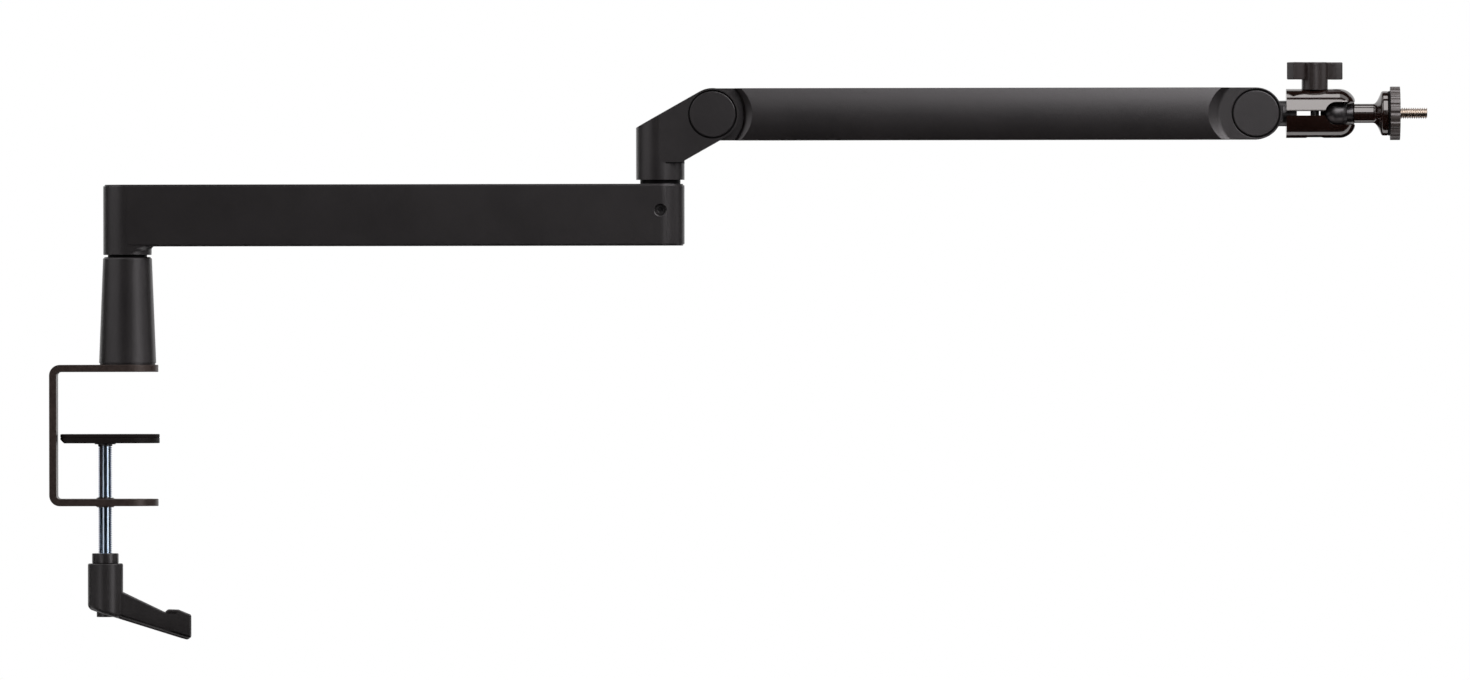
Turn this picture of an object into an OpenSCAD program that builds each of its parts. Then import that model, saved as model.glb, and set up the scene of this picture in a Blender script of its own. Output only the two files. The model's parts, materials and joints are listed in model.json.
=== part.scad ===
// Low-profile desk boom arm for a microphone.
// Millimetres, +Z up, +X along the arms. The origin is on the post axis, on the desk face of the clamp.

/* [Clamp bracket] */
// Thickness of the bent steel strip
strip_t = 4.1; // [3:0.1:6]
// Width of the strip and of the moving jaw
strip_w = 35; // [30:1:50]
// Height inside the bracket
throat_h = 72.3; // [66:0.1:90]
// Post axis to the inner face of the upright
throat_d = 40.2; // [36:0.1:60]
// Inner radius of the two bends
bend_r = 2; // [1:0.5:5]
// How far the threaded boss in the lower leg stands proud
boss_proud = 0.7; // [0.2:0.1:2]

/* [Moving jaw] */
// Desk face to the rubber pad, as photographed
jaw_gap = 35.4; // [20:0.1:40]
// Thickness of the jaw's steel plate
jaw_t = 3.2; // [3:0.1:5]
// Thickness of the rubber pad
pad_t = 2; // [1:0.1:4]
// Gap between the jaw and the upright
jaw_side_gap = 2.1; // [1:0.1:4]
// How far the jaw's round end is past the post axis
jaw_shift = 0.7; // [0:0.1:4]
// Radius of the jaw's two rear corners
jaw_corner_r = 6; // [3:0.5:9]
// Width of the bevel under the jaw's rear edge
jaw_bevel = 2.2; // [1:0.1:2.8]

/* [Clamp screw] */
// Nominal diameter of the thread
screw_d = 8; // [6:1:10]
// Screw axis behind the post axis
screw_off = 12.9; // [11:0.1:16]
// Thread between the jaw bush and the lever
screw_len = 61.1; // [50:0.1:80]
// Diameter of the plain tip that turns in the jaw
tip_d = 5; // [4:0.1:5.5]

/* [Clamping lever] */
// Diameter of the steel insert's collar
collar_d = 15.2; // [14:0.1:18]
// Height of the collar
collar_h = 5.8; // [3:0.1:8]
// Diameter of the splined part of the insert
spline_d = 12; // [11:0.1:13]
// Length of the splined part
spline_h = 12; // [8:0.1:14]
// Diameter of the handle's hub
hub_d = 20; // [19:0.1:24]
// Screw axis to the tip of the handle
lever_reach = 48.9; // [46:0.1:80]
// Width of the handle's arm
lever_w = 10; // [7:0.1:13]
// Diameter of the push head under the hub
push_d = 10; // [9.6:0.1:11]
// Distance that the handle lifts off its spline
lever_pull = 3.5; // [2:0.1:4]

/* [Post] */
// Height of the post
post_h = 61.4; // [50:0.1:100]
// Diameter of the sleeve at its foot
post_foot_d = 32.6; // [28:0.1:34]
// Diameter of the sleeve at its top
post_top_d = 27.9; // [25:0.1:32]
// Diameter of the core inside the sleeve
core_d = 22; // [21:0.1:23.5]
// Diameter of the shaft that turns in the post
shaft_d = 14; // [12:0.1:15]
// Wall of the bushes
bush_wall = 1.9; // [1.5:0.1:2.2]
// Length of each post bush
bush_h = 14; // [8:1:20]
// Diameter of the washer on the post
post_washer_d = 22.4; // [20:0.1:26]
// Thickness of the washer on the post
post_washer_t = 1.2; // [0.8:0.1:3]
// Diameter of the three screws under the post
foot_screw_d = 4; // [3:0.1:4.5]
// Post axis to each foot screw
foot_screw_r = 6.4; // [6:0.1:7]

/* [Lower arm] */
// Distance between the post axis and the elbow axis
arm1_len = 303.8; // [240:0.1:360]
// Width of the lower arm and of the knuckle
arm_w = 27.6; // [27:0.1:32]
// Height of the lower arm
arm1_h = 35.2; // [30:0.1:45]
// Height of the round boss under the arm
boss_h = 4.8; // [3:0.1:8]
// Wall of the cable channel
wall1 = 3.8; // [3.4:0.1:4.5]
// Floor of the cable channel
floor1 = 4; // [3:0.1:8]
// Solid length each side of the elbow axis
elbow_block = 22; // [18:0.1:30]
// Height of the elbow set screw below the arm's top
set_screw_drop = 15; // [10:0.1:20]
// Diameter of the elbow set screw
set_screw_d = 6; // [4:0.1:6.5]
// Edge bevel of the arm castings
edge = 0.8; // [0.3:0.1:1.2]

/* [Cable covers] */
// Thickness of both covers
cover_t = 2.4; // [1.8:0.1:3]
// Width of the ledge that a cover lies on
ledge = 1.8; // [1.6:0.1:1.9]
// Width of the cable notch at each end of a cover
notch_w = 8; // [5:0.1:12]
// Diameter of the cover magnets
magnet_d = 4; // [3:0.1:5]
// Thickness of the magnets in the channels
magnet_h = 2; // [1.5:0.1:3]
// Thickness of the magnets in the covers
cover_magnet_h = 1.1; // [0.8:0.1:1.3]

/* [Elbow] */
// Gap between the lower arm and the knuckle, filled by a washer
elbow_gap = 2.3; // [1:0.1:4]
// Diameter of the elbow washer
elbow_washer_d = 23; // [20:0.1:26]
// Elbow axis to tilt axis, along the arms
tilt_off = 29.8; // [28.5:0.1:36]
// Tilt axis above the desk face
tilt_z = 146.2; // [144:0.1:152]
// Slope of the knuckle
knuckle_slope = 29.5; // [26:0.5:33]
// Radius of the knuckle about the tilt axis
knuckle_r = 14.9; // [14.5:0.1:16]
// Height of the round base of the knuckle
knuckle_base_h = 9.9; // [7:0.1:11]
// Diameter of the tilt bolt
tilt_bolt_d = 10; // [8:0.1:11]
// Thickness of a tilt friction washer
tilt_washer_t = 0.8; // [0.5:0.1:1.2]

/* [Upper arm] */
// Distance between the tilt axis and the head axis
arm2_len = 309.6; // [240:0.1:360]
// Height of the upper arm
arm2_h = 29.6; // [29:0.1:30]
// Depth of the upper arm at mid height
arm2_w = 32; // [31:0.1:36]
// Depth of the upper arm at its top and bottom edges
arm2_edge_w = 28; // [27:0.1:29.5]
// Width of the tongue that turns in the knuckle
tongue_w = 15.2; // [12:0.1:16.4]
// Tilt axis to the wall of the elbow scoop, along the arm
scoop1_r = 17.6; // [17.5:0.1:19]
// Distance from the tilt axis back to the centre of the elbow scoop
scoop1_back = 5.9; // [2:0.1:8]
// Growth in radius of the scoop's wall per millimetre of depth
scoop1_rise = 0.27; // [0.1:0.01:0.4]
// Growth in radius of the scoop's wide lip per millimetre of depth
scoop1_lip_rise = 1.06; // [0.6:0.01:1.4]
// Half depth where the wide lip of the elbow scoop starts
scoop1_lip_y = 12.5; // [11:0.1:13.5]
// Width across the head fork
fork_w = 22; // [21:0.1:24]
// Radius where the head scoop meets the fork
scoop2_r = 20.6; // [18:0.1:22]
// Growth in radius of the head scoop per millimetre of depth
scoop2_rise = 1.34; // [0.8:0.01:1.6]
// Width of the cable channel in the upper arm
channel2_w = 20; // [12:0.1:20.5]
// Depth of the cable channel in the upper arm
channel2_h = 22; // [16:0.1:23]

/* [Pivot caps] */
// Diameter of the four caps
cap_d = 27.2; // [26:0.1:27.6]
// Thickness of the caps
cap_t = 1.2; // [0.8:0.1:1.4]
// Gap round a cap
cap_gap = 0.35; // [0.2:0.05:0.5]

/* [Head] */
// Slot in the head fork
fork_slot = 12.4; // [11:0.1:13]
// Thickness of a head friction washer
head_washer_t = 0.6; // [0.4:0.1:1]
// Diameter of the head tongue's eye
eye_d = 22; // [20:0.1:23]
// Diameter of the head pivot bolt
head_bolt_d = 6; // [5:0.1:7]
// Diameter of the neck to the ball jaws
neck_d = 14.6; // [12:0.1:16]
// Head axis to the ball jaws
neck_len = 17.3; // [17:0.1:24]

/* [Ball joint] */
// Diameter of the ball jaws
jaws_d = 28; // [26:0.1:32]
// Length of the ball jaws
jaws_len = 40; // [39:0.1:44]
// Radius of the dome at the front of the jaws
dome_r = 9.7; // [8:0.1:11]
// Gap between the two jaws
jaws_gap = 2.6; // [1.5:0.1:4]
// Diameter of the ball
ball_d = 16; // [14.6:0.1:16.6]
// Back of the jaws to the ball's centre
ball_off = 28.4; // [28:0.1:29]
// Wall of the ball seat
seat_t = 0.8; // [0.6:0.1:1.1]
// Height of the side notch that the stem swings into
drop_notch = 13; // [12.2:0.1:15]
// Back of the jaws to the lock screw
lock_off = 16.4; // [15.5:0.1:16.6]
// Diameter of the lock screw
lock_d = 5; // [4:0.1:5.6]

/* [Wing knob] */
// Width across the wings
wing_span = 33.2; // [24:0.1:40]
// Height of the wings
wing_h = 9.5; // [6:0.1:14]
// Thickness of a wing
wing_t = 5; // [3:0.1:7]
// Diameter of the knob's hub
knob_d = 14.2; // [12:0.1:18]
// Hub below the wings
knob_neck = 7.1; // [5:0.1:12]

/* [Stem and wheel] */
// Diameter of the stem
stem_d = 10.9; // [9:0.1:11.4]
// Length of the straight stem
stem_len = 11.7; // [8:0.1:20]
// Length of the cone behind the flange
cone_len = 4.1; // [2:0.1:8]
// Diameter of the flange
flange_d = 25.4; // [20:0.1:28]
// Thickness of the flange
flange_t = 4; // [2:0.1:8]
// Diameter of the 1/4 inch stud
stud_d = 6.35; // [5:0.01:9.6]
// Length of stud in front of the wheel
stud_out = 15.6; // [10:0.1:24]
// Diameter of the lock wheel
wheel_d = 30.6; // [27:0.1:40]
// Thickness of the lock wheel
wheel_t = 5.6; // [4:0.1:10]
// Thickness of the washer behind the wheel
wheel_washer_t = 1.1; // [0.6:0.1:2]
// Number of grip flutes round the wheel
flutes = 20; // [12:1:30]

/* [Hidden] */
$fn = 96;
// radial running clearance of shafts, pins and screws
fit = 0.05;
// small gap between faces that must not touch
gap = 0.2;
// overlap that makes a cut pass through a face
cut = 1;
// longer than any piece, for cuts that run out of one
far = 60;
// reach of the tongue's sweep beyond the tilt axis
slot_far = 40;
// how far two forms of one piece run into each other
bite = 0.1;

// heights from the desk face up
post_z = strip_t;
post_top = post_z + post_h;
boss_z = post_top + post_washer_t;
arm1_z = boss_z + boss_h;
arm1_top = arm1_z + arm1_h;
knuckle_z = arm1_top + elbow_gap;
cover1_z = arm1_top - cover_t;
half_w = arm_w / 2;

// clamp
leg_z = -throat_h;
leg_bottom = leg_z - strip_t;
upright_x = -throat_d;
end_r = strip_w / 2;
screw_x = -screw_off;
boss_r = screw_d / 2 + 1;
foot_head_h = foot_screw_d / 2;

// jaw, from the pad down
pad_z = -jaw_gap;
jaw_top = pad_z - pad_t;
jaw_z = jaw_top - jaw_t;
jaw_back = upright_x + jaw_side_gap;
bush_flange_t = 0.6;
bush_flange_w = 2.5;
bush_nose = 1;
nose_z = jaw_z - bush_flange_t - bush_nose;
clip_t = 0.9;
clip_pocket_h = clip_t + 2 * gap;
clip_r = tip_d / 2 + 1.9;
clip_room = 0.6;
tip_top = jaw_top - gap;
jaw_bush_r = tip_d / 2 + 1;

// lever, from the collar down
collar_z = nose_z - screw_len;
hub_z = collar_z - collar_h;
insert_end = hub_z - spline_h;
insert_cap = 1.4;
spline_fit = 0.3;
shelf_t = 2.5;
shelf_z = insert_end - gap - shelf_t;
push_r = push_d / 2;
spring_h = 9;
spring_wall_in = 0.5;
spring_wall_out = 0.4;
retainer_d = 5;
spring_top = shelf_z;
spring_bottom = spring_top - spring_h;
push_h = 6.9;
push_bottom = spring_bottom - push_h;
hub_r = hub_d / 2;
lever_slope = 17.4;
// side view of the handle: distances back from the tip, and heights below the hub's top
under_ref = 7.4;
under_z = 31.4;
root_z = 16.3;
notch_start = [18.7, 26];
notch_floor = [15, 27.8];
tab_start = [13.3, 26.2];
tab_end = [7.3, 26.4];
nose_top_z = 29.4;
nose_low = 2.4;
chin = [2, 0.8];
chin_len = 6;

// post
core_wall_r = shaft_d / 2 + bush_wall + 2 * fit;
core_floor = 9;
core_top = post_top - gap;
sleeve_lip = 1;
shaft_z = post_z + core_floor + 1;
spigot_d = shaft_d - 2;
bolt_d = 6;
bolt_in = 10;
bolt_head_w = 2;
bolt_washer_t = 1.5;
bolt_washer_w = 3;

// lower arm
channel1_w = arm_w - 2 * wall1;
cover1_w = channel1_w + 2 * ledge;
channel1_end = arm1_len - elbow_block;
notch_len = 8;
cover_gap = 0.2;
pad_len = 9;
pad_w = magnet_d + 1.2;
elbow_spigot_d = 14;
elbow_bush_r = elbow_spigot_d / 2 + bush_wall;
spigot_z = arm1_z + floor1 + gap;
set_screw_z = arm1_top - set_screw_drop;
set_screw_sink = 2.6;
groove_depth = 1.2;
groove_h = 6;
dog_d = 3.8;
socket_depth = 2;
socket_r = set_screw_d / 3.6;
spigot_in = 17;
spigot_top = knuckle_z + spigot_in;
shaft_pad_h = 4;

// elbow
tilt_x = arm1_len + tilt_off;
cheek_in = tongue_w / 2 + tilt_washer_t;
cap_floor = cap_t + gap;
cap_bevel = 0.3;
bolt_head_t = 2;
bolt_head_r = tilt_bolt_d / 2 + 2.5;
head_pocket_r = bolt_head_r + 0.5;
cheek_floor = half_w - cap_floor - bolt_head_t - gap;
flat_z = knuckle_z + knuckle_base_h;
slot_r = knuckle_r + gap;
tilt_down = 36;
tilt_washer_r = 12;
thread_step = 1;

// upper arm
head_x = tilt_x + arm2_len;
arm2_r = arm2_h / 2;
bulge = (arm2_w - arm2_edge_w) / 2;
bulge_r = (arm2_r * arm2_r + bulge * bulge) / (2 * bulge);
tilt_bush_r = tilt_bolt_d / 2 + 2;
scoop1_wall_r = scoop1_r + scoop1_back;
scoop1_lip_r = scoop1_wall_r + scoop1_rise * (scoop1_lip_y - tongue_w / 2);
cover2_w = channel2_w + 2 * ledge;
cover2_start = 31;
cover2_end = 35;

// head
fork_in = fork_slot / 2;
head_slot_back = eye_d / 2 + 1;
tongue2_w = fork_slot - 2 * head_washer_t;
head_bolt_head_t = 1.5;
head_bolt_head_r = head_bolt_d / 2 + 3;
head_cheek_floor = fork_w / 2 - cap_floor - head_bolt_head_t - gap;
jaws_x = head_x + neck_len;
stub_r = 5;
stub_neck = 2;
stub_flange_r = 7.5;
stub_flange_t = 4;
ball_x = jaws_x + ball_off;
ball_r = ball_d / 2;
seat_r = ball_r + fit + seat_t;
cavity_r = seat_r + fit;
lock_x = jaws_x + lock_off;
counterbore_r = lock_d / 2 + 2.8;
counterbore_h = 4;
nut_h = 3.6;
nut_r = lock_d * 0.92;
seat_z = jaws_d / 2 - 0.6;
mouth_r = 6.95;
mouth_in = 5;
mouth_rise = 0.24;
neck2_r = 4.2;
seat_reach = ball_r * 0.45;
lock_nut_z = tilt_z - jaws_d / 2 + counterbore_h - nut_h;
knob_z = tilt_z + seat_z;
wing_z = knob_z + knob_neck - 0.8;
knob_room = 0.4;
lock_in = 3;

// stem, from the ball forward
stem_x = ball_x + 10;
cone_x = stem_x + stem_len;
flange_x = cone_x + cone_len;
washer_x = flange_x + flange_t;
wheel_x = washer_x + wheel_washer_t;
wheel_front = wheel_x + wheel_t;
stud_end = wheel_front + stud_out;
stud_root = 7;
ball_tip_r = 3;
ball_tip_len = 8;
flute_r = 1.5;
flute_out = 0.9;
stud_tip = 0.7;
relief_w = 1;
relief_depth = 0.5;
wing_turn = -18;

// Cylinder along Z from z0 to z1
module bar(r, z0, z1) {
  translate([0, 0, z0]) cylinder(r = r, h = z1 - z0);
}

// Ring along Z from z0 to z1
module ring(ro, ri, z0, z1) {
  difference() {
    bar(ro, z0, z1);
    bar(ri, z0 - cut, z1 + cut);
  }
}

// Turns what lies along Z so that it lies along +X
module along_x() {
  rotate([0, 90, 0]) children();
}

// Turns what lies along Z so that it lies along +Y
module along_y() {
  rotate([-90, 0, 0]) children();
}

// Extrudes an X-Z outline to both sides of the X-Z plane
module slab(w) {
  rotate([90, 0, 0]) linear_extrude(height = w, center = true) children();
}

// Cone of a scoop beside the tongue or fork, on the side that s gives
module scoop(r, rise, half) {
  depth = far / 2;
  for (s = [-1, 1]) scale([1, s, 1])
    along_y() translate([0, 0, half]) cylinder(r1 = r, r2 = r + rise * depth, h = depth);
}

// Bent strip seen from the side
module bracket_side() {
  outer = bend_r + strip_t;
  x0 = upright_x - strip_t;
  run = end_r - x0;
  difference() {
    union() {
      translate([x0 + outer, leg_bottom]) square([run - outer, strip_t - leg_bottom]);
      translate([x0, leg_bottom + outer]) square([outer + cut, strip_t - leg_bottom - 2 * outer]);
      translate([x0 + outer, leg_bottom + outer]) circle(outer);
      translate([x0 + outer, strip_t - outer]) circle(outer);
    }
    translate([upright_x + bend_r, leg_z]) square([run + far, throat_h]);
    translate([upright_x, leg_z + bend_r]) square([bend_r + cut, throat_h - 2 * bend_r]);
    translate([upright_x + bend_r, leg_z + bend_r]) circle(bend_r);
    translate([upright_x + bend_r, -bend_r]) circle(bend_r);
  }
}

// The three places of the foot screws
module foot_places() {
  for (a = [60, 180, 300]) rotate([0, 0, a]) translate([foot_screw_r, 0, 0]) children();
}

// Bent steel clamp body, with the post on its top plate
module clamp_bracket() {
  color([0.11, 0.105, 0.1]) difference() {
    union() {
      intersection() {
        slab(strip_w + 2 * cut) bracket_side();
        translate([0, 0, leg_bottom - cut]) linear_extrude(height = throat_h + 2 * strip_t + 2 * cut) {
          circle(end_r);
          translate([upright_x - strip_t - cut, -end_r]) square([strip_t - upright_x + cut, strip_w]);
        }
      }
      translate([screw_x, 0, 0]) bar(boss_r, leg_bottom - boss_proud, leg_z + boss_proud);
    }
    translate([screw_x, 0, 0]) bar(screw_d / 2 + fit, leg_bottom - far, leg_z + far / 2);
    foot_places() {
      bar(foot_screw_d / 2 + fit, -cut, strip_t + cut);
      cylinder(r1 = foot_screw_d + fit, r2 = foot_screw_d / 2 + fit, h = foot_head_h);
    }
  }
}

// Three countersunk screws that hold the post core
module post_screws() {
  color([0.35, 0.35, 0.36]) foot_places() {
    cylinder(r1 = foot_screw_d, r2 = foot_screw_d / 2, h = foot_head_h);
    bar(foot_screw_d / 2, foot_head_h - bite, post_z + core_floor - cut);
  }
}

// Tube that carries the bushes
module post_core() {
  color([0.62, 0.62, 0.64]) difference() {
    bar(core_d / 2, post_z, core_top);
    bar(core_wall_r, post_z + core_floor, core_top + cut);
    foot_places() bar(foot_screw_d / 2 + fit, post_z - cut, post_z + core_floor - cut / 2);
  }
}

// Tapered outer sleeve
module post_sleeve() {
  lip = sleeve_lip;
  color([0.1, 0.1, 0.105]) difference() {
    union() {
      bar(post_foot_d / 2 - lip / 2, post_z, post_z + lip);
      translate([0, 0, post_z + lip])
        cylinder(r1 = post_foot_d / 2, r2 = post_top_d / 2, h = post_h - 2 * lip);
      translate([0, 0, post_top - lip]) cylinder(r1 = post_top_d / 2, r2 = post_top_d / 2 - lip, h = lip);
    }
    bar(core_d / 2 + gap, post_z - cut, post_top + cut);
  }
}

// Plain bush for the swivel shaft
module post_bush(z0) {
  color([0.85, 0.83, 0.76]) ring(core_wall_r - fit, shaft_d / 2 + fit, z0, z0 + bush_h);
}

module post_bush_lower() {
  post_bush(post_z + core_floor + gap);
}

module post_bush_upper() {
  post_bush(core_top - bush_h);
}

// Dark washer between the post and the arm's boss
module post_washer() {
  color([0.05, 0.05, 0.05]) ring(post_washer_d / 2, shaft_d / 2 + 2 * fit, post_top, boss_z);
}

// Plan of the jaw: half-round in front, two rounded corners at the back
module jaw_outline() {
  c = jaw_corner_r;
  translate([jaw_shift, 0]) circle(end_r);
  translate([jaw_back + c, -end_r]) square([jaw_shift - jaw_back - c, strip_w]);
  translate([jaw_back, c - end_r]) square([c + cut, strip_w - 2 * c]);
  for (s = [-1, 1]) translate([jaw_back + c, s * (end_r - c)]) circle(c);
}

// Steel plate of the moving jaw
module jaw_plate() {
  color([0.13, 0.12, 0.11]) difference() {
    translate([0, 0, jaw_z]) linear_extrude(height = jaw_t) jaw_outline();
    translate([screw_x, 0, 0]) {
      bar(jaw_bush_r + fit, jaw_z - cut, jaw_top + cut);
      bar(clip_r + clip_room, jaw_top - clip_pocket_h, jaw_top + cut);
    }
    slab(strip_w + 2 * cut) polygon([
      [jaw_back - cut, jaw_z + jaw_bevel + cut], [jaw_back - cut, jaw_z - cut],
      [jaw_back + jaw_bevel + cut, jaw_z - cut]
    ]);
  }
}

// Rubber pad on the moving jaw
module jaw_pad() {
  color([0.16, 0.14, 0.13]) translate([0, 0, jaw_top]) linear_extrude(height = pad_t) jaw_outline();
}

// Flanged bush in the jaw that the screw's tip turns in
module jaw_bush() {
  color([0.2, 0.2, 0.2]) translate([screw_x, 0, 0]) difference() {
    union() {
      bar(jaw_bush_r, jaw_z - bite, jaw_top - clip_pocket_h);
      bar(jaw_bush_r + bush_flange_w, jaw_z - bush_flange_t, jaw_z);
      bar(screw_d / 2 + bite, nose_z, jaw_z - bush_flange_t + bite);
    }
    bar(tip_d / 2 + fit, nose_z - cut, jaw_top + cut);
  }
}

// Threaded clamp screw with its plain tip
module clamp_screw() {
  color([0.75, 0.8, 0.88]) translate([screw_x, 0, 0]) {
    bar(screw_d / 2, insert_end + insert_cap + bite, nose_z);
    bar(tip_d / 2, nose_z - bite, tip_top);
  }
}

// Clip that keeps the screw's tip in the jaw
module screw_clip() {
  clip_z = jaw_top - clip_pocket_h + gap;
  color([0.5, 0.5, 0.52]) translate([screw_x, 0, 0])
    ring(clip_r, tip_d / 2 + fit, clip_z, clip_z + clip_t);
}

// Splined steel insert with a collar
module lever_insert() {
  color([0.14, 0.14, 0.14]) translate([screw_x, 0, 0]) difference() {
    union() {
      bar(collar_d / 2, hub_z, collar_z);
      bar(spline_d / 2, insert_end, hub_z + bite);
    }
    bar(screw_d / 2 + fit, insert_end + insert_cap, collar_z + cut);
    bar(retainer_d / 2 + fit, insert_end - cut, insert_end + insert_cap + bite);
  }
}

// Screw with a push head that holds the handle on its insert
module lever_retainer() {
  color([0.1, 0.1, 0.1]) translate([screw_x, 0, 0]) {
    bar(retainer_d / 2, spring_bottom - bite, insert_end + insert_cap - gap);
    bar(push_r, push_bottom, spring_bottom);
  }
}

// Spring that returns the handle to its spline
module lever_spring() {
  color([0.6, 0.6, 0.62]) translate([screw_x, 0, 0])
    ring(push_r - spring_wall_out, retainer_d / 2 + spring_wall_in, spring_bottom, spring_top);
}

// Side view of the handle, from the screw axis and the hub's top face
module lever_side() {
  tip = lever_reach;
  drop = tan(lever_slope);
  low = -under_z - (tip - under_ref) * drop;
  polygon([
    [-hub_r, 0], [hub_r, 0], [hub_r, -root_z], [tip - notch_start.x, -notch_start.y],
    [tip - notch_floor.x, -notch_floor.y], [tip - tab_start.x, -tab_start.y],
    [tip - tab_end.x, -tab_end.y], [tip, -nose_top_z], [tip, low + nose_low],
    [tip - chin.x, low + chin.y], [tip - chin_len, low + chin_len * drop],
    [-hub_r, -under_z + (hub_r + under_ref) * drop]
  ]);
}

// Zinc handle of the clamping lever
module lever_handle() {
  color([0.1, 0.1, 0.1]) translate([screw_x, 0, hub_z]) difference() {
    intersection() {
      slab(hub_d + cut) lever_side();
      union() {
        bar(hub_r, -far, cut);
        translate([0, -lever_w / 2, -far]) cube([lever_reach + cut, lever_w, far + cut]);
      }
    }
    bar(spline_d / 2 + spline_fit, -spline_h - gap, cut);
    bar(retainer_d / 2 + spline_fit, -far, cut);
    bar(push_r + gap, -far, shelf_z - hub_z);
  }
}

// Round-ended plan of the lower arm
module arm1_plan(inset) {
  circle(half_w - inset);
  translate([arm1_len, 0]) circle(half_w - inset);
  translate([0, inset - half_w]) square([arm1_len, arm_w - 2 * inset]);
}

// Plan of the channel or cover: round at the post, square at the elbow
module channel1_plan(w, inset) {
  circle(w / 2);
  translate([0, -w / 2]) square([channel1_end - inset, w]);
}

// Places along an arm of length run where a magnet pad stands
function magnet_places(run) = [run * 0.2, run * 0.5, run * 0.8];

module magnet_row(x0, run) {
  for (d = magnet_places(run)) translate([x0 + d, 0, 0]) children();
}

// Lower arm casting, open on top for the cable
module lower_arm_channel() {
  run = channel1_end;
  color([0.1, 0.1, 0.105]) difference() {
    union() {
      difference() {
        union() {
          translate([0, 0, arm1_z + edge]) linear_extrude(height = arm1_h - 2 * edge) arm1_plan(0);
          translate([0, 0, arm1_z]) linear_extrude(height = arm1_h) arm1_plan(edge);
          bar(half_w, boss_z, arm1_z + edge);
        }
        translate([0, 0, arm1_z + floor1]) linear_extrude(height = arm1_h) channel1_plan(channel1_w, 0);
        translate([0, 0, cover1_z]) linear_extrude(height = arm1_h) channel1_plan(cover1_w, -ledge);
      }
      bar(channel1_w / 2 + cut, arm1_z, arm1_z + floor1 + shaft_pad_h);
      magnet_row(0, run) translate([-pad_len / 2, channel1_w / 2 - pad_w, arm1_z + floor1 / 2])
        cube([pad_len, pad_w + cut, cover1_z - arm1_z - floor1 / 2]);
    }
    bar(spigot_d / 2 + fit, boss_z - cut, arm1_z + floor1 + shaft_pad_h + cut);
    magnet_row(0, run) translate([0, (channel1_w - pad_w) / 2, cover1_z - magnet_h - bite])
      cylinder(r = magnet_d / 2 + fit, h = magnet_h + cut);
    translate([arm1_len, 0, 0]) bar(elbow_bush_r + fit, spigot_z - gap, arm1_top + cut);
    translate([arm1_len, -half_w - cut, set_screw_z])
      along_y() cylinder(r = set_screw_d / 2 + fit, h = half_w + cut - elbow_bush_r / 2);
  }
}

// Shaft that hangs from the arm and turns in the post
module swivel_shaft() {
  color([0.7, 0.7, 0.72]) difference() {
    union() {
      bar(shaft_d / 2, shaft_z, boss_z);
      bar(spigot_d / 2, boss_z - bite, arm1_z + floor1 + shaft_pad_h - gap);
    }
    bar(bolt_d / 2 + fit, boss_z - bolt_in, arm1_top);
  }
}

// Washer under the shaft's bolt
module shaft_bolt_washer() {
  z0 = arm1_z + floor1 + shaft_pad_h;
  color([0.6, 0.6, 0.62]) ring(spigot_d / 2 + bolt_washer_w, bolt_d / 2 + 2 * fit, z0, z0 + bolt_washer_t);
}

// Bolt that pulls the shaft's shoulder against the boss
module shaft_bolt() {
  z0 = arm1_z + floor1 + shaft_pad_h + bolt_washer_t;
  color([0.3, 0.3, 0.3]) difference() {
    union() {
      bar(bolt_d / 2 + bolt_head_w, z0, z0 + bolt_d);
      bar(bolt_d / 2, boss_z - bolt_in + cut, z0 + bite);
    }
    translate([0, 0, z0 + bolt_d / 2]) cylinder(r = bolt_d / 2 - gap, h = bolt_d, $fn = 6);
  }
}

// Magnets in the channel and in the cover
module lower_arm_magnets() {
  color([0.7, 0.7, 0.7]) magnet_row(0, channel1_end) translate([0, (channel1_w - pad_w) / 2, 0])
    bar(magnet_d / 2, cover1_z - magnet_h - bite, cover1_z - bite);
}

module lower_cover_magnets() {
  color([0.7, 0.7, 0.7]) magnet_row(0, channel1_end) translate([0, (channel1_w - pad_w) / 2, 0])
    bar(magnet_d / 2, cover1_z, cover1_z + cover_magnet_h);
}

// Cover of the lower cable channel, with a cable notch at each end
module lower_arm_cover() {
  color([0.09, 0.09, 0.09]) translate([0, 0, cover1_z]) difference() {
    linear_extrude(height = cover_t) difference() {
      channel1_plan(cover1_w - 2 * cover_gap, cover_gap - ledge);
      translate([-half_w, -notch_w / 2]) square([half_w - cover1_w / 2 + notch_len, notch_w]);
      translate([channel1_end + ledge - notch_len, -notch_w / 2]) square([notch_len, notch_w]);
    }
    magnet_row(0, channel1_end) translate([0, (channel1_w - pad_w) / 2, -cut])
      cylinder(r = magnet_d / 2 + fit, h = cover_magnet_h + cut);
  }
}

// Bush in the arm's elbow block
module elbow_bush() {
  color([0.85, 0.83, 0.76]) translate([arm1_len, 0, 0]) difference() {
    ring(elbow_bush_r, elbow_spigot_d / 2 + fit, spigot_z, arm1_top - gap);
    translate([0, -half_w, set_screw_z]) along_y() cylinder(r = set_screw_d / 2 + 2 * fit, h = half_w);
  }
}

// Set screw whose tip runs in the spigot's groove
module elbow_set_screw() {
  tip_y = -(elbow_spigot_d / 2 - groove_depth + 2 * fit);
  head_y = -half_w + set_screw_sink;
  step_y = -(elbow_spigot_d / 2 + gap);
  color([0.2, 0.2, 0.2]) translate([arm1_len, 0, set_screw_z]) along_y() difference() {
    union() {
      bar(set_screw_d / 2, head_y, step_y);
      bar(dog_d / 2, step_y - bite, tip_y);
    }
    translate([0, 0, head_y - cut]) cylinder(r = socket_r, h = socket_depth + cut, $fn = 6);
  }
}

// Dark washer between the arm and the knuckle
module elbow_washer() {
  color([0.04, 0.04, 0.04]) translate([arm1_len, 0, 0])
    ring(elbow_washer_d / 2, elbow_spigot_d / 2 + 2 * fit, arm1_top, knuckle_z);
}

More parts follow.
